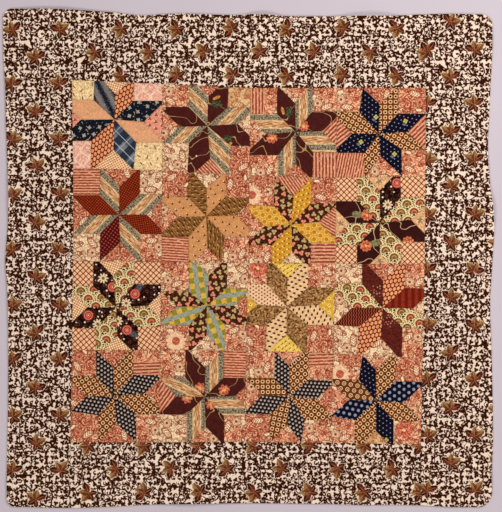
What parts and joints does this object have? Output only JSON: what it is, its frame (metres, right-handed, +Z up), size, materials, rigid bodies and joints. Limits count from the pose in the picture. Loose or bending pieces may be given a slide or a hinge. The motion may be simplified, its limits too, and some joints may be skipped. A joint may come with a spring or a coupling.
{
  "type": "pieced table cover",
  "caption": "Flat square cotton table cover of star-pieced blocks with a printed leaf border, narrow hem, rounded corners and gently waved, lifted edges.",
  "frame": {"origin": "on the table under the middle of the cover", "axes": "+X to the right and +Y to the top of the cover as it is seen from above, +Z up out of its face"},
  "size_m": [0.8986, 0.9141, 0.0095],
  "materials": {
    "star_row_1_cotton": "soft matt printed cottons, pieced",
    "star_row_2_cotton": "soft matt printed cottons, pieced",
    "star_row_3_cotton": "soft matt printed cottons, pieced",
    "star_row_4_cotton": "soft matt printed cottons, pieced",
    "border_cotton": "soft matt printed cotton, leaf and vine print"
  },
  "bodies": {
    "root": {"block_1_1": "star_row_1_cotton", "block_1_2": "star_row_1_cotton", "block_1_3": "star_row_1_cotton", "block_1_4": "star_row_1_cotton", "block_2_1": "star_row_2_cotton", "block_2_2": "star_row_2_cotton", "block_2_3": "star_row_2_cotton", "block_2_4": "star_row_2_cotton", "block_3_1": "star_row_3_cotton", "block_3_2": "star_row_3_cotton", "block_3_3": "star_row_3_cotton", "block_3_4": "star_row_3_cotton", "block_4_1": "star_row_4_cotton", "block_4_2": "star_row_4_cotton", "block_4_3": "star_row_4_cotton", "block_4_4": "star_row_4_cotton", "border_left": "border_cotton", "border_right": "border_cotton", "border_top": "border_cotton", "border_bottom": "border_cotton"}
  },
  "joints": []
}
